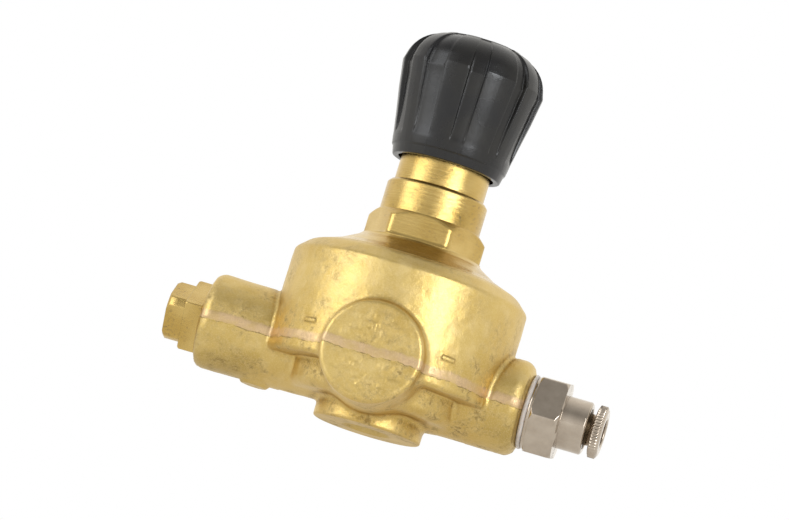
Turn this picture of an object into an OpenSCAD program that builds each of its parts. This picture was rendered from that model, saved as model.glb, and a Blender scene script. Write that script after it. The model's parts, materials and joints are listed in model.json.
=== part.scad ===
// Gas bottle pressure regulator: forged brass body with a diaphragm cup, conical bonnet, hand knob,
// push-in outlet on the right, relief valve on the left and a screw-on inlet underneath.
// Millimetres, +Z up. The origin is the centre of the inlet's face, with the blank boss towards -Y.

/* [Body] */
// Outside diameter of the diaphragm cup
cup_d = 54; // [53.5:0.5:56]
// Height of the cup's rim above the inlet face
cup_top = 37.8; // [37.6:0.1:38]
// Height of the cup's underside
cup_bottom = 10.6; // [10.3:0.1:11]
// Height of the side ports' axis
port_z = 14; // [13.9:0.1:14.2]
// Distance from the main axis to the left port's end face
left_reach = 42; // [42:0.1:43]
// Distance from the main axis to the right port's end face
right_reach = 33; // [33:0.1:34]
// Distance from the main axis to the blank boss's face
boss_reach = 29; // [28.5:0.1:30]
// Diameter of the left port arm
left_arm_d = 21.4; // [21:0.1:21.8]
// Diameter of the right port arm
right_arm_d = 21.4; // [21:0.1:22]
// Diameter of the blank boss
boss_d = 23; // [22:0.1:24]
// Diameter of the inlet boss underneath
inlet_boss_d = 24.7; // [24:0.1:26]
// Diameter of the lower block between the arms
block_d = 41; // [40:0.5:43]

/* [Bonnet] */
// Wrench size of the bonnet's hexagon
bonnet_hex = 24; // [23.6:0.1:25]
// Diameter of the collar above the hexagon
collar_d = 23.2; // [22.8:0.1:23.4]
// Diameter of the neck under the knob
neck_d = 20.66; // [20.4:0.02:20.8]
// Height of the top of the hexagon
hex_top = 48.5; // [48:0.1:49]
// Height of the top of the collar
collar_top = 55.9; // [55.4:0.1:56.2]

/* [Knob] */
// Largest diameter over the knob's lobes
knob_d = 32.9; // [32.5:0.1:34]
// Height of the knob's lower edge, screw fully backed off
knob_bottom = 61.4; // [61.3:0.1:61.6]
// Height of the knob's crown
knob_top = 90.8; // [90.4:0.1:91]
// Number of lobes
lobes = 10; // [8:1:12]
// Angle that each lobe covers
lobe_angle = 21.5; // [16:0.5:24]
// Depth of the grooves between lobes at the widest place
groove_depth = 1; // [0.6:0.1:1.2]

/* [Ports] */
// Diameter of the inlet thread's bore
inlet_bore_d = 9; // [8.8:0.05:9.1]
// Diameter of the side ports' threads
port_thread_d = 13.1; // [13:0.05:13.2]
// Outside diameter of the tube that the outlet takes
tube_d = 6; // [5.8:0.05:6.1]
// Wrench size of the outlet fitting
fitting_hex = 17; // [17:0.5:18]
// Diameter of the outlet fitting's barrel
barrel_d = 12; // [11.7:0.1:12.4]
// Gap between the barrel and the release collar
collar_gap = 1.4; // [1.4:0.1:1.6]
// Side of the relief valve's square head
relief_square = 12; // [11.5:0.1:13]
// Diameter of the turned end of the relief valve's head
relief_turned_d = 13.2; // [12.6:0.1:14]

/* [Springs] */
// Wire diameter of the main spring
main_wire = 2.2; // [1.8:0.1:2.3]
// Turns of the main spring
main_turns = 6.5; // [5:0.5:7]

/* [Hidden] */
$fn = 64;

brass = "#d2aa4b";
machined_brass = "#dcb95f";
nickel = "#b9b0a0";
black = "#26262a";
rubber = "#1e1e1e";
nylon = "#e6e1da";
spring_steel = "#9aa0a6";

over = 0.5; // how far a cutting tool runs past a face
running_gap = 0.08; // radial gap of a part that turns or slides on another

// Cup and the seat of the diaphragm
cup_r = cup_d / 2;
rim_r = cup_r - 2.9;
bonnet_thread_r = 22.5;
seat_z = 29.5;
floor_z = 21;
chamber_r = 18.5;
diaphragm_t = 1.2;
slip_t = 0.5;
plate_z = seat_z + diaphragm_t;
skirt_z = plate_z + slip_t;
block_z = 4.8;

// Central bore, from the inlet up to the nozzle
inlet_r = inlet_bore_d / 2;
seal_z = 8;
pin_z = 9.5;
filter_z = 11;
inlet_depth = 12.5;
passage_r = 1.8;
nozzle_bore_z = 13.4;
nozzle_r = 5.5;
nozzle_hex_r = 6.35;
gasket_t = 0.4;
valve_seat_z = 22;
nozzle_top = 24.5;
orifice_r = 1.3;
stem_r = 0.8;
stem_top = 27.45;
poppet_z = 17.5;

// Side ports
port_r = port_thread_d / 2;
left_port_depth = 12;
right_port_depth = 11;
feed_r = 2.4;
feed_end = 14;
riser_x = 16;
riser_r = 0.9;

// Bonnet
hex_r = bonnet_hex / 2 / cos(30);
collar_r = collar_d / 2;
neck_r = neck_d / 2;
spring_bore_r = 8.4;
neck_wall_z = 61.5;
neck_top = 72;
screw_r = 5;
hex_foot = 38;
hex_land_z = 42.4;

// Screw, button and knob
button_z = 55;
button_top = 57.5;
button_r = spring_bore_r - running_gap;
clip_z = 60.65;
clip_t = 0.8;
spigot_z = 78;
spigot_r = 3.95;
knob_bore_r = 11;
insert_top = 86.6;
fold_z = knob_bottom + 21.4;
cap_z = knob_top - 1;

// Outlet fitting, measured out from the main axis
washer_t = 1.1;
fitting_z = right_reach + washer_t;
barrel_z = fitting_z + 7.3;
barrel_end = barrel_z + 5.9;
flange_z = barrel_end + collar_gap;
flange_t = 2.3;
tube_r = tube_d / 2 + 0.1;
collet_bore_r = 4.6;
collet_bore_z = fitting_z + 3.3;
claw_z = collet_bore_z + 3.2;
collet_stem_r = 3.7 - running_gap;

// Relief valve, measured out from the main axis
relief_step = left_reach + 4;
relief_end = left_reach + 8.2;
relief_inner = left_reach - 10.6;
relief_seat_z = left_reach - 6.6;
relief_bore_r = 4.2;

// Points along an arc, in n steps
function arc(x, y, r, from, to, n = 6) =
    [for (i = [0:n]) let (a = from + (to - from) * i / n) [x + r * cos(a), y + r * sin(a)]];

// Height of the centre of a spring's wire after t turns, with a closed turn at each end
function coil_z(t, wire, length, turns) =
    let (end_pitch = wire * 1.08, first = min(t, 1), last = max(t - turns + 1, 0), middle = t - first - last)
    wire / 2 + (first + last) * end_pitch
        + middle * (length - wire - 2 * end_pitch) / (turns - 2);

// A coil spring standing on z = 0
module coil(r, wire, length, turns, sides = 8, steps = 18) {
    rings = ceil(turns * steps);
    points = [for (i = [0:rings]) let (t = turns * i / rings, z = coil_z(t, wire, length, turns))
        for (k = [0:sides - 1]) let (a = 360 * k / sides, q = r + wire / 2 * cos(a))
            [q * cos(360 * t), q * sin(360 * t), z + wire / 2 * sin(a)]];
    walls = [for (i = [0:rings - 1]) for (k = [0:sides - 1]) let (n = (k + 1) % sides)
        [i * sides + k, (i + 1) * sides + k, (i + 1) * sides + n, i * sides + n]];
    ends = [[for (k = [0:sides - 1]) k], [for (k = [sides - 1:-1:0]) rings * sides + k]];
    polyhedron(points, concat(walls, ends));
}

module turned(profile) {
    rotate_extrude() polygon(profile);
}

module ring(outer, inner, z, height) {
    translate([0, 0, z]) difference() {
        cylinder(r = outer, h = height);
        translate([0, 0, -over]) cylinder(r = inner, h = height + 2 * over);
    }
}

module rod(r, from, to) {
    translate([0, 0, from]) cylinder(r = r, h = to - from);
}

// Frames whose +Z points out of a port, from a point on the main axis
module left_port() translate([0, 0, port_z]) rotate([0, -90, 0]) children();
module right_port() translate([0, 0, port_z]) rotate([0, 90, 0]) children();
module front_boss() translate([0, 0, port_z]) rotate([90, 0, 0]) children();

// A round arm from the main axis, its outer edge rounded
module arm(r, reach, edge) {
    turned(concat([[0, 0], [r, 0]], arc(r - edge, reach - edge, edge, 0, 90), [[0, reach]]));
}

module forging() {
    // inlet boss
    turned([[0, 0], [inlet_boss_d / 2 - 0.5, 0], [inlet_boss_d / 2, 0.5], [inlet_boss_d / 2, 6], [0, 6]]);
    // lower block, drafted towards its rounded edge
    turned(concat([[0, block_z]], arc(block_d / 2 - 3.1, block_z + 2, 2, -90, 0),
        [[block_d / 2, cup_bottom + over], [0, cup_bottom + over]]));
    // diaphragm cup
    turned(concat([[0, cup_bottom]], arc(cup_r - 1.5, cup_bottom + 1.5, 1.5, -90, 0),
        [[cup_r, cup_top - 3.2], [rim_r, cup_top - 0.5], [bonnet_thread_r, cup_top], [0, cup_top]]));
    left_port() arm(left_arm_d / 2, left_reach, 2.6);
    right_port() arm(right_arm_d / 2, right_reach, 3);
    front_boss() arm(boss_d / 2, boss_reach, 2);
    // witness pad under the left arm
    translate([-27.2, 0, port_z - left_arm_d / 2 - 0.9]) cylinder(r = 3.2, h = 2);
    // raised dashes on the cup, either side of the blank boss
    for (side = [-1, 1]) rotate(35 * side) translate([-2.1, -cup_r - 0.3, port_z + 3.2]) cube([4.2, 2, 0.9]);
}

module valve_body() color(brass) difference() {
    forging();
    // cup interior
    rod(bonnet_thread_r, seat_z, cup_top + over);
    rod(chamber_r, floor_z, seat_z + over);
    // nozzle's bore, passage and inlet
    rod(nozzle_r, nozzle_bore_z, floor_z + over);
    rod(passage_r, inlet_depth - over, nozzle_bore_z + over);
    rod(inlet_r, pin_z, inlet_depth);
    rod(inlet_r + 0.5, seal_z, pin_z);
    rod(inlet_r, -over, seal_z);
    // side ports, with a riser from each up into the cup
    left_port() {
        rod(port_r, left_reach - left_port_depth, left_reach + over);
        rod(8, left_reach - 1.2, left_reach + over);
        rod(feed_r, feed_end, left_reach - left_port_depth + over);
    }
    right_port() {
        rod(port_r, right_reach - right_port_depth, right_reach + over);
        rod(feed_r, feed_end, right_reach - right_port_depth + over);
    }
    for (side = [-1, 1]) translate([side * riser_x, 0, 0]) rod(riser_r, port_z, floor_z + over);
}

module bonnet() color(machined_brass) difference() {
    union() {
        // threaded skirt, shallow shoulder and cone
        turned([[0, skirt_z], [bonnet_thread_r, skirt_z], [bonnet_thread_r, cup_top], [18.5, cup_top + 1.5],
            [14.6, cup_top + 3.7], [13.6, hex_land_z], [0, hex_land_z]]);
        // hexagon with chamfered corners
        intersection() {
            translate([0, 0, hex_foot]) cylinder(r = hex_r, h = hex_top - hex_foot, $fn = 6);
            turned([[0, hex_foot], [hex_r + 1, hex_foot], [hex_r + 1, hex_top - 1.9],
                [collar_r + 0.3, hex_top], [0, hex_top]]);
        }
        // collar and neck
        turned([[0, hex_top - over], [collar_r, hex_top - over], [collar_r, collar_top - 0.8],
            [collar_r - 0.8, collar_top], [neck_r, collar_top], [neck_r, neck_top - 0.8],
            [neck_r - 0.8, neck_top], [0, neck_top]]);
    }
    // diaphragm space, then the spring chamber
    turned([[0, skirt_z - over], [19.5, skirt_z - over], [19.5, 33.5], [spring_bore_r, 41],
        [spring_bore_r, neck_wall_z], [0, neck_wall_z]]);
    // adjusting screw's thread
    rod(screw_r, neck_wall_z - over, neck_top + over);
    // breather hole in the rear flat
    translate([0, 0, hex_top - 3]) rotate([-90, 0, 0]) cylinder(r = 0.8, h = hex_r + over);
}

module diaphragm() color(rubber) difference() {
    union() {
        rod(bonnet_thread_r - 0.3, seat_z, plate_z);
        // rolled convolution
        turned(concat([[15.4, seat_z]], [[15.4, plate_z]], arc(16.8, plate_z, 1.4, 180, 0), [[18.2, seat_z]]));
    }
    turned(concat([[16.2, seat_z - over], [16.2, seat_z]], arc(16.8, seat_z, 0.6, 180, 0), [[17.4, seat_z - over]]));
    rod(2.5, seat_z - over, plate_z + over);
}

module slip_ring() color(spring_steel) ring(bonnet_thread_r - 0.3, 19.5, plate_z, slip_t);

module diaphragm_plate() color(machined_brass) difference() {
    turned([[0, plate_z], [15, plate_z], [15, plate_z + 1.4], [14.4, plate_z + 2], [5.2, plate_z + 2],
        [5.2, plate_z + 3.6], [4.8, plate_z + 4], [0, plate_z + 4]]);
    rod(2.5, plate_z - over, plate_z + 4 + over);
}

module pusher() color(machined_brass)
    turned([[0, stem_top + 0.05], [7.6, stem_top + 0.05], [8, stem_top + 0.45], [8, seat_z], [2.5, seat_z],
        [2.5, 39], [2, 39.5], [0, 39.5]]);

module diaphragm_nut() color(spring_steel) difference() {
    intersection() {
        translate([0, 0, plate_z + 4]) cylinder(r = 8 / 2 / cos(30), h = 3.5, $fn = 6);
        turned([[0, 34], [4.2, 34], [4.7, plate_z + 4.4], [4.7, plate_z + 7.1], [4.2, plate_z + 7.5], [0, 39]]);
    }
    rod(2.5, 34, 39);
}

module main_spring() color(spring_steel) translate([0, 0, plate_z + 2])
    coil(8 - main_wire / 2, main_wire, button_z - plate_z - 2, main_turns);

module spring_button() color(spring_steel) difference() {
    turned([[0, button_z - 2], [4.8, button_z - 2], [5.2, button_z - 1.6], [5.2, button_z], [button_r, button_z],
        [button_r, button_top - 0.5], [button_r - 0.5, button_top], [0, button_top]]);
    translate([0, 0, button_top - 1.3]) cylinder(r1 = 1.2, r2 = 4, h = 1.8);
}

module adjusting_screw() color(machined_brass) difference() {
    turned([[0, button_top - 1.15], [1, button_top - 1.15], [3, button_top + 0.15], [3, button_top + 0.6],
        [screw_r - running_gap, clip_z - 0.6], [screw_r - running_gap, clip_z], [4.3, clip_z],
        [4.3, clip_z + clip_t], [screw_r - running_gap, clip_z + clip_t],
        [screw_r - running_gap, spigot_z - 0.5], [spigot_r, spigot_z], [spigot_r, insert_top], [0, insert_top]]);
    rod(2, insert_top - 7, insert_top + over);
}

module stop_clip() color(spring_steel) difference() {
    ring(6.2, 4.3, clip_z, clip_t);
    translate([0, -1.5, clip_z - over]) cube([7, 3, clip_t + 2 * over]);
}

// Half outline of the knob, inset by a share of the groove's depth
function knob_outline(inset) = let (
    widest = knob_d / 2 - inset, foot = knob_bottom + 4.8, foot_r = 13.8 - inset * 0.25)
    concat([[13.8 - inset * 0.25, foot], [widest, fold_z]],
        [for (a = [6:12:90]) [7.4 + (widest - 7.4) * cos(a), fold_z + (knob_top - inset - fold_z) * sin(a)]],
        [[0, knob_top - inset], [0, foot]]);

module knob() color(black) difference() {
    union() {
        turned([[0, knob_bottom], [12.2, knob_bottom], [12.6, knob_bottom + 0.3], [13.2, knob_bottom + 1.5],
            [13.56, knob_bottom + 2.8], [13.8, knob_bottom + 4.8], [0, knob_bottom + 4.8]]);
        turned(knob_outline(groove_depth));
        for (i = [0:lobes - 1]) rotate(360 * i / lobes)
            rotate_extrude(angle = lobe_angle) polygon(knob_outline(0));
    }
    // skirt cavity, insert's seat and cap's recess
    rod(knob_bore_r, knob_bottom - over, spigot_z);
    rod(6, spigot_z - over, insert_top);
    rod(6.2, insert_top - over, cap_z);
    rod(7.6, cap_z - 0.6, knob_top + over);
}

module knob_insert() color(machined_brass) ring(6, spigot_r, spigot_z, insert_top - spigot_z);

module knob_washer() color(spring_steel) ring(5.4, 2.1, insert_top, 0.5);

module knob_screw() color(spring_steel) difference() {
    union() {
        rod(2, insert_top - 6.5, insert_top + 1);
        turned(concat([[0, insert_top + 0.5]], [[3.5, insert_top + 0.5]],
            arc(2.7, insert_top + 1.2, 0.8, 0, 90), [[0, insert_top + 2]]));
    }
    for (a = [0, 90]) rotate(a) translate([-2, -0.35, insert_top + 1.2]) cube([4, 0.7, 2]);
}

module knob_cap() color(black)
    turned([[0, cap_z - 0.6], [7.5, cap_z - 0.6], [7.5, cap_z + 0.55], [7.1, cap_z + 0.85], [0, cap_z + 0.95]]);

module nozzle() color(machined_brass) difference() {
    union() {
        rod(nozzle_r, nozzle_bore_z + 0.2, floor_z + gasket_t + over);
        intersection() {
            translate([0, 0, floor_z + gasket_t]) cylinder(r = nozzle_hex_r, h = nozzle_top - floor_z - gasket_t, $fn = 6);
            turned([[0, floor_z], [7, floor_z], [7, nozzle_top - 0.9], [5.3, nozzle_top], [0, nozzle_top]]);
        }
    }
    rod(3.9, nozzle_bore_z - over, valve_seat_z);
    rod(orifice_r, valve_seat_z - over, nozzle_top + over);
}

module nozzle_gasket() color("#b87333") ring(7.2, nozzle_r, floor_z, gasket_t);

module poppet() color(machined_brass) difference() {
    union() {
        rod(1.1, poppet_z - 2.9, poppet_z + over);
        translate([0, 0, poppet_z]) cylinder(r = 3.9 - running_gap, h = 3.7, $fn = 6);
        rod(stem_r, poppet_z, stem_top);
    }
    // pocket for the seat pad
    difference() {
        rod(2.4, poppet_z + 2.6, poppet_z + 3.7 + over);
        rod(stem_r, poppet_z, stem_top);
    }
}

module poppet_seat() color(nylon) ring(2.4, stem_r, poppet_z + 2.6, valve_seat_z - 0.05 - poppet_z - 2.6);

module poppet_spring() color(spring_steel) translate([0, 0, nozzle_bore_z + 0.05])
    coil(2.8, 0.5, poppet_z - nozzle_bore_z - 0.1, 4.5, 6, 16);

module inlet_filter() color("#8a6a3c") rod(inlet_r, filter_z, inlet_depth);

module inlet_pin() color(machined_brass) difference() {
    turned([[0, seal_z + 0.1], [0.8, seal_z + 0.1], [1, seal_z + 0.3], [1, pin_z], [inlet_r, pin_z],
        [inlet_r, filter_z], [0, filter_z]]);
    for (a = [0:120:240]) rotate(a) translate([2.7, 0, 0]) rod(0.7, pin_z - over, filter_z + over);
}

module inlet_seal() color(rubber) ring(inlet_r + 0.5, 2.4, seal_z + 0.1, pin_z - seal_z - 0.1);

// Square bar with one corner turned 11 degrees above the front
module relief_bar(from, to) {
    translate([0, 0, from]) rotate(-34) linear_extrude(to - from) square(relief_square, center = true);
}

module relief_body() color(machined_brass) left_port() difference() {
    union() {
        rod(port_r, relief_inner, left_reach + over);
        intersection() {
            relief_bar(left_reach, relief_step);
            turned([[0, left_reach], [9, left_reach], [9, relief_step - 0.7], [8, relief_step], [0, relief_step]]);
        }
        intersection() {
            relief_bar(left_reach, relief_end);
            turned([[0, left_reach], [relief_turned_d / 2, left_reach], [relief_turned_d / 2, relief_end - 0.6],
                [relief_turned_d / 2 - 0.6, relief_end], [0, relief_end]]);
        }
    }
    rod(relief_bore_r, relief_seat_z, relief_end + over);
    rod(1.4, relief_inner - over, relief_seat_z + over);
}

module relief_seal() color(rubber) left_port()
    rotate_extrude() translate([port_r + 0.62, left_reach - 0.6]) circle(r = 0.58, $fn = 24);

module relief_poppet() color(machined_brass) left_port() {
    rod(3.6, relief_seat_z + 1.1, relief_seat_z + 3.1);
    rod(1.4, relief_seat_z + 2, relief_seat_z + 6);
}

module relief_disc() color(rubber) left_port() rod(3, relief_seat_z + 0.05, relief_seat_z + 1.1);

module relief_spring() color(spring_steel) left_port() translate([0, 0, relief_seat_z + 3.15])
    coil(2.9, 0.8, relief_end - 3.95 - relief_seat_z - 3.15, 6, 6, 16);

module relief_adjuster() color(machined_brass) left_port() difference() {
    rod(relief_bore_r - 0.04, relief_end - 3.9, relief_end - 0.5);
    translate([0, 0, relief_end - 4]) cylinder(r = 2 / cos(30), h = 5, $fn = 6);
}

module fitting_body() color(nickel) right_port() difference() {
    union() {
        rod(port_r, right_reach - 9.8, fitting_z + over);
        intersection() {
            translate([0, 0, fitting_z]) rotate(-22)
                cylinder(r = fitting_hex / 2 / cos(30), h = barrel_z - fitting_z, $fn = 6);
            turned([[0, fitting_z], [fitting_hex / 2 - 0.7, fitting_z], [fitting_hex / 2 + 1.6, fitting_z + 1.4],
                [fitting_hex / 2 + 1.6, barrel_z - 1.1], [fitting_hex / 2 - 0.5, barrel_z], [0, barrel_z]]);
        }
        turned([[0, fitting_z], [barrel_d / 2, fitting_z], [barrel_d / 2, barrel_end - 0.4],
            [barrel_d / 2 - 0.4, barrel_end], [0, barrel_end]]);
    }
    rod(2.1, right_reach - 10, fitting_z + 1);
    rod(tube_r, fitting_z + 0.7, collet_bore_z + over);
    rod(collet_bore_r, collet_bore_z, barrel_end + over);
}

module port_washer() color(nylon) right_port() difference() {
    turned(concat([[port_r, right_reach]], arc(7.9, right_reach + washer_t / 2, washer_t / 2, -90, 90),
        [[port_r, fitting_z]]));
}

module tube_seal() color(rubber) right_port()
    rotate_extrude() translate([3.85, collet_bore_z + 0.8]) circle(r = 0.75, $fn = 24);

module collet_sleeve() color(machined_brass) right_port()
    ring(collet_bore_r, 3.7, claw_z + 2, barrel_end - 0.1 - claw_z - 2);

// Flange with a straight knurl, on a slotted collet whose claws grip the tube
module release_collar() color(nickel) right_port() difference() {
    union() {
        intersection() {
            translate([0, 0, flange_z]) linear_extrude(flange_t)
                polygon([for (i = [0:119]) let (r = barrel_d / 2 - (i % 2) * 0.22) r * [cos(3 * i), sin(3 * i)]]);
            turned([[0, flange_z], [barrel_d / 2 - 0.4, flange_z], [barrel_d / 2, flange_z + 0.4],
                [barrel_d / 2, flange_z + 1.2], [barrel_d / 2 - 0.7, flange_z + flange_t], [0, flange_z + flange_t]]);
        }
        rod(collet_stem_r, claw_z + 1.2, flange_z + over);
        turned([[0, claw_z], [3.9, claw_z], [4.3, claw_z + 0.6], [4.3, claw_z + 1.6], [0, claw_z + 1.6]]);
    }
    rod(tube_r, claw_z - over, flange_z + flange_t + over);
    for (a = [0, 90]) rotate(a) translate([-5, -0.35, claw_z - over]) cube([10, 0.7, 5 + over]);
}

valve_body();
bonnet();
diaphragm();
slip_ring();
diaphragm_plate();
pusher();
diaphragm_nut();
main_spring();
spring_button();
adjusting_screw();
stop_clip();
knob();
knob_insert();
knob_washer();
knob_screw();
knob_cap();
nozzle();
nozzle_gasket();
poppet();
poppet_seat();
poppet_spring();
inlet_filter();
inlet_pin();
inlet_seal();
relief_body();
relief_seal();
relief_poppet();
relief_disc();
relief_spring();
relief_adjuster();
fitting_body();
port_washer();
tube_seal();
collet_sleeve();
release_collar();
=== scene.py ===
import json
import math

import bpy
import numpy as np
from mathutils import Matrix, Vector


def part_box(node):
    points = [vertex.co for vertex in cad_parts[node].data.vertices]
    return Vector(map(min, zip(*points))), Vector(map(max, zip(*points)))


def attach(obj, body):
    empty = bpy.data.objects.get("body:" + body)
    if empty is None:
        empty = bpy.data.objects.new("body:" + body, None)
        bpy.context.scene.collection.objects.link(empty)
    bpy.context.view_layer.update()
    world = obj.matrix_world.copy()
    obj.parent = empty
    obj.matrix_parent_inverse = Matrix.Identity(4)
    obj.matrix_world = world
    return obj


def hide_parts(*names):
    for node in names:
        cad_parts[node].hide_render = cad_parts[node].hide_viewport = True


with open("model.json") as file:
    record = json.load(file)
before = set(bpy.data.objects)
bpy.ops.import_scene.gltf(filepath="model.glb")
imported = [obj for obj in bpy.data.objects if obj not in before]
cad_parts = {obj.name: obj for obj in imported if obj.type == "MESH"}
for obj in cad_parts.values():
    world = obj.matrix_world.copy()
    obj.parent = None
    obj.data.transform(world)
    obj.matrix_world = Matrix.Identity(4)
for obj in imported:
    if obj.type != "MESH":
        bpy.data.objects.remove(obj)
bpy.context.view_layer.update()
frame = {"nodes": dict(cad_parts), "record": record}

# Shapes are worked out in millimetres and written in metres.
MM = 0.001

# Driving sizes of the forged body and of what is bored into it
PORT_Z = 14.0
CUP = 27.0
LEFT_END, RIGHT_END, FRONT_END = -42, 33, 29
PORT_THREAD, PASSAGE, INLET = 6.55, 2.4, 4.5
RISER, RISER_X = 0.9, 16
# The bonnet's breather hole, through its rear flat
BREATHER, BREATHER_Z = 0.8, 45.5

LATTICE = np.random.RandomState(11).rand(32, 32, 32)


# ---------------------------------------------------------------- solids from distance fields

def smooth_min(a, b, k):
    h = np.maximum(k - np.abs(a - b), 0) / k
    return np.minimum(a, b) - h * h * k / 4


def smooth_max(a, b, k):
    return -smooth_min(-a, -b, k)


def drum(q, t, low, high, radius, edge=0.0):
    """Distance to a round bar: q out from its axis, t along it from low to high, with rounded edges."""
    dq = q - radius + edge
    dt = np.abs(t - (low + high) / 2) - (high - low) / 2 + edge
    return np.minimum(np.maximum(dq, dt), 0) + np.hypot(np.maximum(dq, 0), np.maximum(dt, 0)) - edge


def noise(p, size, seed=0.0):
    """Smooth value noise from 0 to 1 with lumps of the given size."""
    q = p / size + seed
    i = np.floor(q).astype(int)
    f = q - i
    f = f * f * (3 - 2 * f)
    total = 0.0
    for dx in (0, 1):
        for dy in (0, 1):
            for dz in (0, 1):
                w = (np.where(dx, f[:, 0], 1 - f[:, 0]) * np.where(dy, f[:, 1], 1 - f[:, 1])
                     * np.where(dz, f[:, 2], 1 - f[:, 2]))
                total = total + w * LATTICE[(i[:, 0] + dx) % 32, (i[:, 1] + dy) % 32, (i[:, 2] + dz) % 32]
    return total


def solid_from(field, low, high, step):
    """Vertices, quads and normals of the surface where field is 0."""
    axes = [np.arange(a, b + step, step) for a, b in zip(low, high)]
    v = field(*np.meshgrid(*axes, indexing="ij"))
    inside = v < 0
    cells = tuple(n - 1 for n in v.shape)
    count = np.zeros(cells)
    place = [np.zeros(cells) for _ in range(3)]
    crossings = []
    for a in range(3):
        b, c = (a + 1) % 3, (a + 2) % 3
        first, second = [slice(None)] * 3, [slice(None)] * 3
        first[a], second[a] = slice(0, -1), slice(1, None)
        v0, v1 = v[tuple(first)], v[tuple(second)]
        cut = inside[tuple(first)] != inside[tuple(second)]
        at = np.where(cut, v0 / np.where(cut, v0 - v1, 1), 0)
        crossings.append((cut, inside[tuple(first)]))
        for db in (0, 1):
            for dc in (0, 1):
                s = [slice(None)] * 3
                s[b], s[c] = slice(db, db + cells[b]), slice(dc, dc + cells[c])
                m = cut[tuple(s)]
                count += m
                place[a] += at[tuple(s)]
                place[b] += m * db
                place[c] += m * dc
    live = count > 0
    index = np.full(cells, -1)
    index[live] = np.arange(live.sum())
    grid = np.argwhere(live)
    p = np.stack([low[a] + step * (grid[:, a] + place[a][live] / count[live]) for a in range(3)], 1)
    quads = []
    for a in range(3):
        b, c = (a + 1) % 3, (a + 2) % 3
        cut, starts_inside = crossings[a]
        at = np.argwhere(cut)
        at = at[(at[:, b] > 0) & (at[:, c] > 0) & (at[:, b] < cells[b]) & (at[:, c] < cells[c])]
        ring = []
        for db, dc in ((-1, -1), (0, -1), (0, 0), (-1, 0)):
            q = at.copy()
            q[:, b] += db
            q[:, c] += dc
            ring.append(index[q[:, 0], q[:, 1], q[:, 2]])
        ring = np.stack(ring, 1)
        out = starts_inside[at[:, 0], at[:, 1], at[:, 2]]
        quads.append(np.where(out[:, None], ring, ring[:, ::-1]))
    quads = np.concatenate(quads)
    for _ in range(4):
        p, normal = settle(field, p, step)
    return p, quads, normal


def settle(field, p, step):
    """Moves points onto the surface, and gives the normals there."""
    d = 0.02
    value = field(p[:, 0], p[:, 1], p[:, 2])
    slope = np.stack([
        field(*(p + d * e).T) - field(*(p - d * e).T) for e in np.eye(3)], 1) / (2 * d)
    size = np.linalg.norm(slope, axis=1)[:, None]
    normal = slope / np.maximum(size, 1e-6)
    return p - normal * np.clip(value[:, None] / np.maximum(size, 0.3), -step, step), normal


def mesh_object(name, points, faces):
    """A smooth-shaded object from points in millimetres."""
    mesh = bpy.data.meshes.new(name)
    corners = [tuple(int(i) for i in f) for f in faces]
    mesh.from_pydata([tuple(q) for q in np.asarray(points) * MM], [], corners)
    mesh.validate()
    mesh.polygons.foreach_set("use_smooth", [True] * len(mesh.polygons))
    mesh.update()
    obj = bpy.data.objects.new(name, mesh)
    bpy.context.scene.collection.objects.link(obj)
    return obj


# ---------------------------------------------------------------- solids from rings of points

def eased(points, edge=0.12):
    """Cuts each corner of a closed outline with a small bevel, so that it catches the light."""
    pts = [np.array(p, float) for p in points]
    out = []
    for i, p in enumerate(pts):
        a, b = pts[i - 1], pts[(i + 1) % len(pts)]
        la, lb = np.linalg.norm(a - p), np.linalg.norm(b - p)
        e = min(edge, la * 0.4, lb * 0.4)
        out += [p + (a - p) / la * e, p + (b - p) / lb * e]
    return out


def loft(name, rings):
    """A closed ring-shaped solid through closed rings of points, each an n by 3 array."""
    m, n = len(rings), len(rings[0])
    faces = []
    for i in range(m):
        k = (i + 1) % m
        for j in range(n):
            l = (j + 1) % n
            faces.append((i * n + j, i * n + l, k * n + l, k * n + j))
    points = np.concatenate(rings)
    q = points[np.array(faces)]
    if (np.cross(q[:, 1] - q[:, 0], q[:, 2] - q[:, 0]) * q[:, 0]).sum() + (
            np.cross(q[:, 2] - q[:, 0], q[:, 3] - q[:, 0]) * q[:, 0]).sum() < 0:
        faces = [f[::-1] for f in faces]
    obj = mesh_object(name, points, faces)
    bpy.context.view_layer.objects.active = obj
    mod = obj.modifiers.new("normals", "WEIGHTED_NORMAL")
    mod.weight = 80
    mod.keep_sharp = True
    return obj


def polygon_radius(angle, flats, sides, corner):
    """Radius of a regular polygon of this width across flats, its corners softened."""
    half = math.pi / sides
    a = (angle + half) % (2 * half) - half
    other = np.where(a > 0, a - 2 * half, a + 2 * half)
    one = flats / 2 / np.cos(np.clip(a, -1.2, 1.2))
    two = flats / 2 / np.cos(np.clip(other, -1.45, 1.45))
    return smooth_min(one, two, corner)


def upright(radius, angle, z):
    """A ring round the upright axis; z is one height or one for each point."""
    return np.stack([radius * np.cos(angle), radius * np.sin(angle), np.full_like(angle, 1.0) * z], 1)


def sideways(radius, angle, x):
    """A ring round the side ports' axis; angle 0 is the front and 90 degrees is up."""
    along = np.full_like(angle, x)
    return np.stack([along, -radius * np.cos(angle), PORT_Z + radius * np.sin(angle)], 1)


# ---------------------------------------------------------------- the forged body

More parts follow.
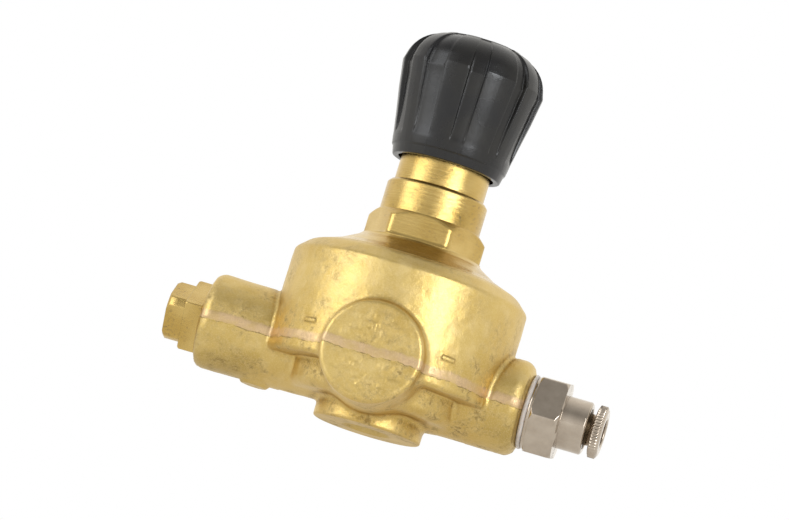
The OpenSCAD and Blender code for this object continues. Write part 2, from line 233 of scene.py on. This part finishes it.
def body_field(x, y, z):
    r = np.hypot(x, y)
    across = np.hypot(y, z - PORT_Z)
    cup = drum(r - 0.2 * (34 - z) / 22, z, 10.6, 42, CUP, 1.1)
    cup = smooth_max(cup, (r - CUP) * 0.681 + (z - 34.6) * 0.732, 0.5)
    cup = smooth_max(cup, (r - 24.1) * 0.298 + (z - 37.3) * 0.955, 0.5)
    block = drum(r - 0.22 * (z - 7.7), z, 4.6, 14, 20.5, 2.0)
    d = smooth_min(cup, block, 0.6)
    left = drum(across + 0.012 * (x + 34), x, LEFT_END, -6, 10.7, 2.6)
    right = drum(across - 0.012 * (x - 28), x, 6, RIGHT_END, 10.7, 3.0)
    front = drum(np.hypot(x, z - PORT_Z) - 0.02 * (y + 28), -y, 4, FRONT_END, 11.5, 1.2)
    pad = drum(np.hypot(x + 27.2, y) - 0.8 * (z - 2.6), z, 2.6, 9, 2.95, 0.15)
    left = smooth_min(left, pad, 0.3)
    d = smooth_min(d, smooth_min(left, right, 0.5), 0.9)
    d = smooth_min(d, front, 1.4)
    d = smooth_min(d, drum(r, z, 0, 12, 12.35, 0.5), 1.3)
    # two raised dashes on the cup, either side of the front boss
    for side in (-35.5, 35.5):
        a = math.radians(side)
        along = x * math.cos(a) + y * math.sin(a)
        dash = np.maximum(np.abs(along) - 1.6, np.abs(z - 17.7) - 0.42)
        dash = np.maximum(dash, np.abs(r - 27.2) - 0.3) + np.where(y < 0, 0, 50)
        d = smooth_min(d, dash, 0.4)
    # upright bores: cup, diaphragm chamber, nozzle, passage below it, seal groove and inlet
    for radius, low, high in ((22.5, 29.5, 50), (18.5, 21, 30), (5.5, 13.4, 22), (1.8, 12, 14),
                              (5, 8, 9.5), (INLET, -2, 12.5)):
        d = np.maximum(d, -drum(r, z, low, high, radius))
    d = smooth_max(d, -np.maximum((r - 5.7 + z) * 0.707, z - 4), 0.1)
    # bores along the side ports: threads, the left one's counterbore, and the passages
    for radius, low, high in ((PORT_THREAD, -60, -30), (8, -60, -40.8), (PASSAGE, -31, -14),
                              (PORT_THREAD, 22, 60), (PASSAGE, 14, 23)):
        d = np.maximum(d, -drum(across, x, low, high, radius))
    for side in (-RISER_X, RISER_X):
        d = np.maximum(d, -drum(np.hypot(x - side, y), z, PORT_Z, 22, RISER))
    return d


def forged_skin(p):
    """How far each point of the body stands proud of its plain shape; 0 where it is machined."""
    x, y, z = p.T
    r = np.hypot(x, y)
    across = np.hypot(y, z - PORT_Z)
    front = np.hypot(x, z - PORT_Z)
    skin = (z > 0.4) & (z < 34.2) & (x > -41.4) & (x < 32.4)
    skin &= ~((r < 23) & (z > 20)) & ~((r < 11.5) & (z > 1) & (z < 16) & (y > -12))
    skin &= ~((across < 8.2) & (np.abs(x) > 13))
    skin = skin.astype(float) * np.clip((z - 0.4) / 2, 0, 1) * np.clip((34.2 - z) / 1.5, 0, 1)
    lumps = (0.16 * (noise(p, 5.0) - 0.5) + 0.09 * (noise(p, 1.9, 3.3) - 0.5)
             + 0.04 * (noise(p, 0.8, 7.1) - 0.5))
    # the flash line is a flat raised strip that breaks off along its lower edge
    line = flash_line(p)
    strip = np.clip((line + 1.05) / 0.25, 0, 1) * np.clip((1.2 - line) / 0.8, 0, 1)
    shaded_crack = np.exp(-((line + 1.12) / 0.16) ** 2)
    # the arms stand a little proud of the fillets at their roots, further in below the flash
    root = np.where(line > -1.1, 27.9, 21.6)
    root = np.sqrt(np.maximum(root ** 2 - y ** 2, 0))
    arm = np.clip((np.abs(x) - root) / 0.35, 0, 1) * (across < 12) * (z > 3.6)
    face = (y < -28.2) & (front < 10.5)
    inside = np.clip((10.6 - front) / 3.0, 0, 1)
    rough = 0.26 * (noise(p * [1, 0.2, 1], 1.7, 2.2) - 0.5) + 0.24 * (noise(p * [1, 0.2, 1], 0.8, 9.2) - 0.5)
    rough = (rough * np.clip((np.abs(z - PORT_Z) - 1.2) / 1.2, 0.15, 1) - 0.05) * inside * face
    return skin * (lumps + 0.10 * strip - 0.08 * shaded_crack + 0.13 * arm + rough)


def flash_line(p):
    """Height over the middle of the ragged line where the dies met."""
    flat = p * [1, 1, 0.2]
    ragged = (0.5 * (noise(flat, 3.0, 5.5) - 0.5) + 0.4 * (noise(flat, 1.1, 1.5) - 0.5)
              + 0.25 * (noise(flat, 0.5, 4.4) - 0.5))
    return p[:, 2] - PORT_Z - 0.15 - ragged


def make_body():
    step = 0.3
    p, quads, normal = solid_from(body_field, (-42.6, -29.6, -0.6), (33.6, 27.8, 38.4), step)
    # how closed in each point is; it drives painted shade and painted bounce colour in the corners
    crevice_shade = np.zeros(len(p))
    for reach, share in ((1.3, 1.0), (4.2, 0.7)):
        out = p + normal * reach
        crevice_shade = np.maximum(crevice_shade, share * np.clip(1 - body_field(*out.T) / reach, 0, 1))
    line = flash_line(p)
    p = p + normal * forged_skin(p)[:, None]
    low, high = [np.array(c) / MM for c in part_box("valve_body")]
    body = mesh_object("forged_body", np.clip(p, low, high), quads)
    for name, values in (("crevice_shade", crevice_shade), ("flash_line", line)):
        body.data.attributes.new(name, "FLOAT", "POINT").data.foreach_set("value", values.astype(np.float32))
    return body


# ---------------------------------------------------------------- turned and moulded pieces

def make_bonnet():
    angle = np.radians(np.arange(0, 360, 1.5))
    hexagon = polygon_radius(angle + math.radians(30), 24.0, 6, 1.1)
    rings = []
    cone = [(31.2, 22.45), (37.62, 22.45), (37.95, 22.1), (39.3, 18.5), (41.5, 14.6), (42.1, 13.9),
            (42.4, 13.7)]
    for z, radius in eased(cone)[1:]:
        rings.append(upright(np.full_like(angle, radius), angle, z))
    for z in (42.4, 42.55, 43.2, 44.5, 45.9, *np.arange(46.2, 48.45, 0.2), 48.5):
        foot = 0.25 if z < 42.5 else 0
        radius = smooth_min(hexagon + foot, np.full_like(angle, 11.95 + (48.5 - z) * 1.02), 0.3)
        rings.append(upright(radius, angle, z))
    top = [(48.5, 11.6), (55.1, 11.6), (55.9, 10.85), (55.9, 10.33), (71.2, 10.33), (72, 9.53), (72, 5.0),
           (61.5, 5.0), (61.5, 8.4), (41, 8.4), (33.5, 19.5), (31.2, 19.5)]
    for z, radius in eased(top)[1:-1]:
        rings.append(upright(np.full_like(angle, radius), angle, z))
    obj = loft("bonnet_cone_and_neck", rings)
    bpy.ops.mesh.primitive_cylinder_add(
        vertices=24, radius=BREATHER * MM, depth=8 * MM, location=(0, 11 * MM, BREATHER_Z * MM),
        rotation=(math.pi / 2, 0, 0))
    drill = bpy.context.object
    cut = obj.modifiers.new("breather", "BOOLEAN")
    cut.object = drill
    bpy.context.view_layer.objects.active = obj
    bpy.ops.object.modifier_move_to_index(modifier="breather", index=0)
    bpy.ops.object.modifier_apply(modifier="breather")
    bpy.data.objects.remove(drill)
    return obj


# Raised lobes of the knob, from and to in degrees round from the front
LOBES = [(-53.8, -35.8), (-17.8, 3.2), (16.8, 44.2), (55.2, 73.2)]
LOBES += [(89.6 + 36 * i, 110.6 + 36 * i) for i in range(6)]


def knob_lobe(angle, wall=0.9):
    """1 on the raised lobes and 0 in the grooves, with a short wall between."""
    a = np.degrees(angle) % 360
    share = np.zeros_like(a)
    for start, end in LOBES:
        off = np.abs((a - (start + end) / 2 + 180) % 360 - 180) - (end - start) / 2
        share = np.maximum(share, np.clip(0.5 - off / wall, 0, 1))
    return share


def make_knob():
    marks = []
    for start, end in LOBES:
        marks += [start - 0.6, start - 0.25, start + 0.25, start + 0.7, (start + end) / 2,
                  end - 0.7, end - 0.25, end + 0.25, end + 0.6]
    marks = np.unique(np.round(np.concatenate([np.array(marks) % 360, np.arange(0, 360, 3.0)]), 2))
    around = np.radians(marks)
    share = knob_lobe(around)
    # height, radius and depth of the grooves there
    outer = [(61.4, 12.2, 0), (61.45, 12.38, 0), (61.6, 12.52, 0), (63.2, 12.88, 0), (63.4, 12.96, 0),
             (63.55, 13.14, 0), (63.75, 13.25, 0), (65.3, 13.5, 0), (65.8, 13.56, 0), (66.3, 13.62, 0.12),
             (67, 13.74, 0.3), (68, 13.92, 0.42), (70.3, 14.3, 0.6), (73.3, 14.85, 0.78),
             (76.3, 15.42, 0.9), (79.3, 15.87, 1.0), (81.7, 16.24, 1.0), (82.5, 16.36, 1.0)]
    dome = [(82.75, 16.34, 1.0), (82.9, 16.28, 0.98)]
    for a in (14, 21, 28, 35, 42, 49, 56, 62, 68, 73):
        c, s = math.cos(math.radians(a)), math.sin(math.radians(a))
        dome.append((82.7 + 8.05 * s, 7.1 + 9.0 * c, 0.95 - 0.004 * a))
    inner = [(90.78, 8.0, 0.0), (90.6, 7.6, 0.0), (89.2, 7.6, 0.0), (89.2, 6.2, 0.0), (86.6, 6.2, 0.0),
             (86.6, 6.0, 0.0), (78.0, 6.0, 0.0), (78.0, 11.0, 0.0), (61.6, 11.0, 0.0), (61.4, 11.2, 0.0)]
    rings = []
    for z, radius, depth in outer + dome + [(90.72, 9.2, 0.25)] + inner:
        cut = depth * (1 - share)
        # the grooves' fold is a little lower than the lobes'
        drop = 0.9 * (1 - share) * math.exp(-((z - 83.0) / 2.2) ** 2)
        rings.append(upright(radius - cut, around - math.pi / 2, z - drop))
    return loft("fluted_knob", rings)


def make_fitting():
    angle = np.radians(np.arange(0, 360, 1.5))
    hexagon = polygon_radius(angle + math.radians(38), 17.0, 6, 0.22)
    rings = []
    x0 = 34.1
    for x, radius in eased([(23.2, 2.1), (23.2, 6.0), (23.8, 6.55), (x0, 6.55), (x0, 7.9)], 0.1)[2:-1]:
        rings.append(sideways(np.full_like(angle, radius), angle, x))
    for x in (x0, 34.2, 34.8, 34.88):
        rings.append(sideways(np.full_like(angle, 8.1 if x == x0 else 8.2), angle, x))
    for x in (34.9, *np.arange(34.95, 35.7, 0.15), 36.4, 38.5, 39.9, *np.arange(40.2, 41.45, 0.16), 41.4):
        lead = 9.1 + (x - 34.9) * 1.2
        tail = 9.1 + (41.4 - x) * 0.9
        rings.append(sideways(smooth_min(hexagon, np.full_like(angle, min(lead, tail)), 0.12), angle, x))
    end = [(41.4, 6.05), (41.55, 6.0), (46.9, 6.0), (47.3, 5.6), (47.3, 4.6), (37.4, 4.6), (37.4, 3.1),
           (34.8, 3.1), (34.8, 2.1), (23.2, 2.1)]
    for x, radius in eased(end, 0.1)[1:-1]:
        rings.append(sideways(np.full_like(angle, radius), angle, x))
    return loft("push_in_fitting", rings)


def make_collar():
    teeth = 48
    step = 360 / teeth / 6
    angle = np.radians(np.arange(0, 360, step))
    tooth = np.tile([0, 0.35, 1, 1, 0.35, 0], teeth)
    rings = []
    rows = [(40.6, 3.1, 0), (40.6, 3.9, 0), (41.2, 4.3, 0), (42.2, 4.3, 0), (42.2, 3.62, 0), (48.7, 3.62, 0),
            (48.7, 5.45, 0), (48.82, 5.6, 0.0), (48.95, 5.66, 0.3), (50.4, 5.66, 0.3), (50.55, 5.6, 0.12),
            (50.75, 5.45, 0), (50.95, 5.15, 0), (51.0, 4.9, 0), (51.0, 3.5, 0), (50.7, 3.1, 0)]
    for x, radius, height in rows:
        rings.append(sideways(radius + height * tooth, angle, x))
    return loft("knurled_collar", rings)


def make_relief():
    angle = np.radians(np.arange(0, 360, 1.5))
    square = polygon_radius(angle - math.radians(55.6), 12.0, 4, 0.6)
    rings = []
    for x, radius in eased([(-31.4, 1.4), (-31.4, 6.0), (-32, 6.55), (-42, 6.55), (-42, 7.6)], 0.1)[2:-1]:
        rings.append(sideways(np.full_like(angle, radius), angle, x))
    for x in (-42, -42.25, -44, -45.4, -45.6, -45.8, -46):
        top = 8.0 + (x + 46) * 1.2 if x < -45.3 else 20
        rings.append(sideways(smooth_min(square, np.full_like(angle, top), 0.1), angle, x))
    for x in (-46, -46.1, -48, -49.6, -49.75, -49.9, -50.05, -50.2):
        top = 6.62 - max(0, -x - 49.6) * 1.0
        rings.append(sideways(smooth_min(square * 0.9, np.full_like(angle, top), 0.1), angle, x))
    end = [(-50.2, 4.5), (-49.9, 4.2), (-35.4, 4.2), (-35.4, 1.4), (-31.4, 1.4)]
    for x, radius in eased(end, 0.08)[1:-1]:
        rings.append(sideways(np.full_like(angle, radius), angle, x))
    return loft("relief_valve_head", rings)


def make_washer():
    angle = np.radians(np.arange(0, 360, 3))
    half = 0.55
    rows = [(33.0, 6.6), (33.0, 7.95)]
    for a in map(math.radians, range(20, 180, 20)):
        rows.append((33.55 - half * math.cos(a), 7.95 + half * math.sin(a)))
    rows += [(34.1, 7.95), (34.1, 6.6)]
    return loft("nylon_washer", [sideways(np.full_like(angle, r), angle, x) for x, r in rows])


# ---------------------------------------------------------------- materials

class Shader:
    """A node material with short calls for the nodes that these materials share."""

    def __init__(self, name, color, metallic=0.0, roughness=0.5):
        self.material = bpy.data.materials.new(name)
        self.material.use_nodes = True
        self.tree = self.material.node_tree
        self.main = self.tree.nodes["Principled BSDF"]
        self.main.inputs["Base Color"].default_value = (*color, 1)
        self.main.inputs["Metallic"].default_value = metallic
        self.main.inputs["Roughness"].default_value = roughness
        self.place = self.node("ShaderNodeTexCoord").outputs["Object"]

    def node(self, kind, **settings):
        n = self.tree.nodes.new(kind)
        for key, value in settings.items():
            setattr(n, key, value)
        return n

    def link(self, source, socket):
        if hasattr(source, "node"):
            self.tree.links.new(source, socket)
        else:
            socket.default_value = source

    def noise(self, size, detail=3.0, rough=0.55, stretch=(1, 1, 1)):
        """Noise with lumps of this size in millimetres, stretched along the axes."""
        move = self.node("ShaderNodeMapping")
        move.inputs["Scale"].default_value = [1000 / size / s for s in stretch]
        self.link(self.place, move.inputs["Vector"])
        n = self.node("ShaderNodeTexNoise")
        n.inputs["Scale"].default_value = 1
        n.inputs["Detail"].default_value = detail
        n.inputs["Roughness"].default_value = rough
        self.link(move.outputs[0], n.inputs["Vector"])
        return n.outputs["Fac"]

    def spread(self, value, low, high, to_low=0.0, to_high=1.0):
        n = self.node("ShaderNodeMapRange")
        for socket, v in zip(n.inputs[:5], (value, low, high, to_low, to_high)):
            self.link(v, socket)
        return n.outputs[0]

    def attribute(self, name):
        return self.node("ShaderNodeAttribute", attribute_name=name).outputs["Fac"]

    def math(self, operation, a, b=0.0):
        n = self.node("ShaderNodeMath", operation=operation)
        self.link(a, n.inputs[0])
        self.link(b, n.inputs[1])
        return n.outputs[0]

    def mix(self, share, a, b):
        n = self.node("ShaderNodeMix", data_type="RGBA")
        self.link(share, n.inputs[0])
        for value, socket in ((a, n.inputs[6]), (b, n.inputs[7])):
            self.link((*value, 1) if isinstance(value, tuple) else value, socket)
        return n.outputs[2]

    def axis(self, index):
        n = self.node("ShaderNodeSeparateXYZ")
        self.link(self.place, n.inputs[0])
        return n.outputs[index]

    def bump(self, height, depth, after=None):
        """Adds relief this many millimetres deep."""
        n = self.node("ShaderNodeBump")
        n.inputs["Distance"].default_value = depth * MM
        self.link(height, n.inputs["Height"])
        if after is not None:
            self.link(after, n.inputs["Normal"])
        self.link(n.outputs[0], self.main.inputs["Normal"])
        return n.outputs[0]

    def color(self, value):
        self.link(value, self.main.inputs["Base Color"])

    def roughness(self, value):
        self.link(value, self.main.inputs["Roughness"])


def forged_brass():
    s = Shader("forged_brass", (0.66, 0.47, 0.16), 1.0, 0.42)
    cloud, patch, speck, grain = s.noise(14, 4), s.noise(3.2, 4, 0.65), s.noise(0.9, 3, 0.7), s.noise(0.28, 2)
    tone = s.mix(s.spread(cloud, 0.35, 0.65), (0.680, 0.500, 0.175), (0.560, 0.390, 0.115))
    tone = s.mix(s.spread(patch, 0.42, 0.72, 0.0, 0.5), tone, (0.740, 0.590, 0.300))
    stain = s.math("MULTIPLY", s.spread(patch, 0.47, 0.62), s.spread(speck, 0.42, 0.60))
    stain = s.math("MULTIPLY", stain, s.spread(cloud, 0.43, 0.56))
    stain = s.math("MULTIPLY", stain, s.spread(s.axis(2), 0.014, 0.024, 1.0, 0.5))
    tone = s.mix(s.math("MULTIPLY", stain, 0.7), tone, (0.230, 0.160, 0.055))
    # darker olive tone low on the outer arms, fading upward
    low = s.math("MULTIPLY", s.spread(s.math("ABSOLUTE", s.axis(0)), 0.024, 0.031),
                 s.spread(s.axis(2), 0.006, 0.016, 1.0, 0.0))
    low = s.math("MULTIPLY", low, s.spread(cloud, 0.38, 0.58))
    tone = s.mix(s.math("MULTIPLY", low, 0.55), tone, (0.360, 0.260, 0.085))
    # painted reflection: deeper yellow in the corners, where the brass sees more brass
    deep = s.attribute("crevice_shade")
    tone = s.mix(s.spread(deep, 0.15, 0.7, 0.0, 0.75), tone, (0.480, 0.300, 0.050))
    # darker specks in the corners: partly dirt, partly painted shade
    dirt_and_shade = s.math("MULTIPLY", s.spread(deep, 0.25, 0.6), s.spread(speck, 0.40, 0.58))
    tone = s.mix(s.math("MULTIPLY", dirt_and_shade, 0.75), tone, (0.200, 0.140, 0.060))
    # the flash line where the dies met, and the crack along its lower edge, whose dark line is painted shade
    # under the ledge
    line = s.attribute("flash_line")
    band = s.math("MULTIPLY", s.spread(line, -1.08, -0.95), s.spread(line, 0.75, 1.25, 1.0, 0.0))
    band = s.math("MULTIPLY", band, s.spread(patch, 0.25, 0.55, 0.25, 0.70))
    tone = s.mix(band, tone, (0.640, 0.450, 0.290))
    # painted shade: the crack under the ledge is darkened
    shaded_crack = s.spread(s.math("ABSOLUTE", s.math("ADD", line, 1.13)), 0.03, 0.16, 0.75, 0.0)
    tone = s.mix(s.math("MULTIPLY", shaded_crack, s.spread(patch, 0.42, 0.55)), tone, (0.140, 0.085, 0.040))
    tone = s.mix(s.spread(grain, 0.45, 0.75, 0.0, 0.35), tone, (0.820, 0.660, 0.350))
    s.color(tone)
    rough = s.spread(patch, 0.3, 0.7, 0.36, 0.48)
    s.roughness(s.math("ADD", rough, s.math("MULTIPLY", stain, 0.15)))
    relief = s.bump(grain, 0.040)
    s.bump(speck, 0.06, relief)
    return s.material


def turned_brass():
    s = Shader("turned_brass", (0.70, 0.51, 0.21), 1.0, 0.30)
    cloud, speck = s.noise(9, 4), s.noise(0.7, 3, 0.7)
    lines = s.node("ShaderNodeTexNoise", noise_dimensions="1D")
    s.link(s.math("MULTIPLY", s.axis(2), 7000.0), lines.inputs["W"])
    lines.inputs["Detail"].default_value = 3
    tone = s.mix(s.spread(cloud, 0.35, 0.65), (0.630, 0.455, 0.165), (0.500, 0.335, 0.095))
    stain = s.math("MULTIPLY", s.spread(cloud, 0.45, 0.62), s.spread(speck, 0.55, 0.66))
    tone = s.mix(s.math("MULTIPLY", stain, 0.7), tone, (0.260, 0.185, 0.090))
    s.color(tone)
    s.roughness(s.spread(lines.outputs["Fac"], 0.3, 0.7, 0.20, 0.29))
    relief = s.bump(lines.outputs["Fac"], 0.012)
    s.bump(speck, 0.012, relief)
    return s.material


def nickel():
    s = Shader("nickel_plate", (0.55, 0.47, 0.38), 1.0, 0.17)
    cloud, speck = s.noise(5, 3), s.noise(0.5, 3, 0.7)
    s.color(s.mix(s.spread(cloud, 0.35, 0.65), (0.520, 0.450, 0.370), (0.420, 0.355, 0.285)))
    s.roughness(s.spread(speck, 0.35, 0.7, 0.12, 0.24))
    s.bump(s.noise(1.6, 2), 0.012)
    return s.material


def black_plastic():
    s = Shader("black_plastic", (0.010, 0.010, 0.011), 0.0, 0.30)
    s.main.inputs["Specular IOR Level"].default_value = 0.44
    cloud, grain = s.noise(7, 3), s.noise(0.25, 2)
    s.color(s.mix(s.spread(cloud, 0.35, 0.7), (0.006, 0.006, 0.007), (0.012, 0.011, 0.009)))
    s.roughness(s.spread(cloud, 0.3, 0.7, 0.22, 0.33))
    relief = s.bump(grain, 0.010)
    s.bump(s.noise(1.1, 2), 0.02, relief)
    return s.material


def nylon():
    s = Shader("nylon", (0.86, 0.83, 0.80), 0.0, 0.38)
    s.main.inputs["Subsurface Weight"].default_value = 0.35
    s.main.inputs["Subsurface Radius"].default_value = (0.0012, 0.0010, 0.0009)
    s.color(s.mix(s.spread(s.noise(2.5, 3), 0.35, 0.65), (0.61, 0.56, 0.52), (0.49, 0.44, 0.40)))
    s.bump(s.noise(0.4, 2), 0.01)
    return s.material


def plain(name, color, metallic, rough, other, size, depth):
    """Inner parts: a base colour clouded with another, and a fine relief."""
    s = Shader(name, color, metallic, rough)
    s.color(s.mix(s.spread(s.noise(size * 8, 3), 0.35, 0.65), color, other))
    s.bump(s.noise(size, 3), depth)
    return s.material


brass_forged, brass_turned, nickel_plate = forged_brass(), turned_brass(), nickel()
plastic, nylon_white = black_plastic(), nylon()
FINISHES = {
    "forged_brass": brass_forged, "turned_brass": brass_turned, "nickel_plated_brass": nickel_plate,
    "black_plastic": plastic, "nylon": nylon_white,
    "rubber": plain("rubber", (0.028, 0.028, 0.028), 0.0, 0.62, (0.040, 0.039, 0.037), 0.3, 0.02),
    "steel": plain("zinc_steel", (0.56, 0.57, 0.60), 1.0, 0.33, (0.47, 0.47, 0.46), 0.4, 0.008),
    "copper": plain("copper", (0.80, 0.44, 0.30), 1.0, 0.36, (0.62, 0.33, 0.22), 0.4, 0.008),
    "sintered_bronze": plain("sintered_bronze", (0.48, 0.34, 0.18), 1.0, 0.62, (0.34, 0.24, 0.13), 0.12, 0.06),
}
slots = {row["node"]: row["material_slot"] for row in frame["record"]["subparts"]}
# painted shade: a very dark brass for the collet sleeve, standing in for the shade in the gap where it shows
gap_shade_brass = plain("gap_shade_brass", (0.16, 0.12, 0.07), 1.0, 0.5, (0.10, 0.08, 0.05), 0.4, 0.008)
for name, obj in frame["nodes"].items():
    obj.data.materials.clear()
    obj.data.materials.append(gap_shade_brass if name == "collet_sleeve" else FINISHES[slots[name]])

MADE = [
    (make_body, "valve_body", "regulator_body"),
    (make_bonnet, "bonnet", "regulator_body"),
    (make_knob, "knob", "hand_knob"),
    (make_fitting, "fitting_body", "regulator_body"),
    (make_washer, "port_washer", "regulator_body"),
    (make_relief, "relief_body", "regulator_body"),
    (make_collar, "release_collar", "collar"),
]
for make, node, body in MADE:
    piece = make()
    piece.data.materials.append(FINISHES[slots[node]])
    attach(piece, body)
    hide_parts(node)


# ---------------------------------------------------------------- stage, light and camera

def make_floor():
    """A pale floor that hides nothing from a camera below it."""
    bpy.ops.mesh.primitive_circle_add(vertices=96, radius=2.5, fill_type="NGON", location=(0, 0, -0.00005))
    floor = bpy.context.object
    floor.name = "floor"
    s = Shader("pale_floor", (0.35, 0.35, 0.34), 0.0, 0.9)
    s.main.inputs["Emission Color"].default_value = (1, 0.99, 0.97, 1)
    s.main.inputs["Emission Strength"].default_value = 0.62
    clear = s.node("ShaderNodeBsdfTransparent")
    back = s.node("ShaderNodeNewGeometry").outputs["Backfacing"]
    pick = s.node("ShaderNodeMixShader")
    s.link(back, pick.inputs[0])
    s.link(s.main.outputs[0], pick.inputs[1])
    s.link(clear.outputs[0], pick.inputs[2])
    s.link(pick.outputs[0], s.tree.nodes["Material Output"].inputs[0])
    floor.data.materials.append(s.material)


# The camera's place in degrees, its distance, and the width in metres that it sees at that distance
CAM_AZ, CAM_EL, CAM_ROLL = 8.15, -7.8, 17.0
REACH, WIDTH = 1.2, 0.17533


def direction(azimuth, elevation):
    """From the object's middle towards this place; azimuth 0 is the front."""
    a, e = math.radians(azimuth), math.radians(elevation)
    return Vector((math.sin(a) * math.cos(e), -math.cos(a) * math.cos(e), math.sin(e)))


def make_camera():
    back = direction(CAM_AZ, CAM_EL)
    right = Vector((math.cos(math.radians(CAM_AZ)), math.sin(math.radians(CAM_AZ)), 0))
    up = back.cross(right)
    aim = -0.0050 * right + 0.0381 * up
    roll = math.radians(CAM_ROLL)
    top = math.cos(roll) * up - math.sin(roll) * right
    side = math.cos(roll) * right + math.sin(roll) * up
    camera = bpy.data.objects.new("camera", bpy.data.cameras.new("camera"))
    bpy.context.scene.collection.objects.link(camera)
    camera.data.sensor_width = 36
    camera.data.lens = 36 * REACH / WIDTH
    turn = Matrix((side, top, back)).transposed().to_4x4()
    camera.matrix_world = Matrix.Translation(aim + back * REACH) @ turn
    bpy.context.scene.camera = camera


def soft_box(name, azimuth, elevation, distance, width, height, power):
    light = bpy.data.objects.new(name, bpy.data.lights.new(name, "AREA"))
    light.data.shape = "RECTANGLE"
    light.data.size, light.data.size_y = width, height
    light.data.energy = power
    light.data.color = (0.93, 0.96, 1.0)
    towards = direction(azimuth, elevation)
    light.location = Vector((0, 0, 0.04)) + towards * distance
    light.rotation_euler = towards.to_track_quat("Z", "Y").to_euler()
    bpy.context.scene.collection.objects.link(light)


def make_world():
    """White to the camera; for the object a pale room, darker overhead."""
    world = bpy.data.worlds.new("room")
    bpy.context.scene.world = world
    world.use_nodes = True
    t = world.node_tree
    t.nodes.clear()
    place = t.nodes.new("ShaderNodeTexCoord")
    split = t.nodes.new("ShaderNodeSeparateXYZ")
    ramp = t.nodes.new("ShaderNodeValToRGB")
    stops = [(0.0, 0.60), (0.47, 0.88), (0.56, 0.88), (0.70, 0.60), (0.84, 0.40), (0.92, 0.50), (1.0, 0.72)]
    elements = ramp.color_ramp.elements
    while len(elements) < len(stops):
        elements.new(0.5)
    for e, (at, v) in zip(elements, stops):
        e.position, e.color = at, (v, v * 0.985, v * 0.96, 1)
    scale, behind = t.nodes.new("ShaderNodeMapRange"), t.nodes.new("ShaderNodeMapRange")
    scale.inputs[1].default_value = -1
    behind.inputs[1].default_value, behind.inputs[2].default_value = -0.25, 0.45
    backdrop = t.nodes.new("ShaderNodeMix")
    backdrop.data_type = "RGBA"
    backdrop.inputs[7].default_value = (1.15, 1.13, 1.08, 1)
    room, white = t.nodes.new("ShaderNodeBackground"), t.nodes.new("ShaderNodeBackground")
    white.inputs[0].default_value, white.inputs[1].default_value = (1, 1, 1, 1), 1.0
    path, pick = t.nodes.new("ShaderNodeLightPath"), t.nodes.new("ShaderNodeMixShader")
    out = t.nodes.new("ShaderNodeOutputWorld")
    for a, b in ((place.outputs["Generated"], split.inputs[0]), (split.outputs[2], scale.inputs[0]),
                 (scale.outputs[0], ramp.inputs[0]), (ramp.outputs[0], backdrop.inputs[6]),
                 (split.outputs[1], behind.inputs[0]), (behind.outputs[0], backdrop.inputs[0]),
                 (backdrop.outputs[2], room.inputs[0]),
                 (path.outputs["Is Camera Ray"], pick.inputs[0]), (room.outputs[0], pick.inputs[1]),
                 (white.outputs[0], pick.inputs[2]), (pick.outputs[0], out.inputs[0])):
        t.links.new(a, b)


make_floor()
make_camera()
make_world()
soft_box("left_box", CAM_AZ - 62, 4, 0.9, 0.55, 1.1, 5.0)
soft_box("right_box", CAM_AZ + 31, 2, 0.9, 0.22, 1.0, 6.4)
bpy.context.scene.view_settings.view_transform = "Standard"
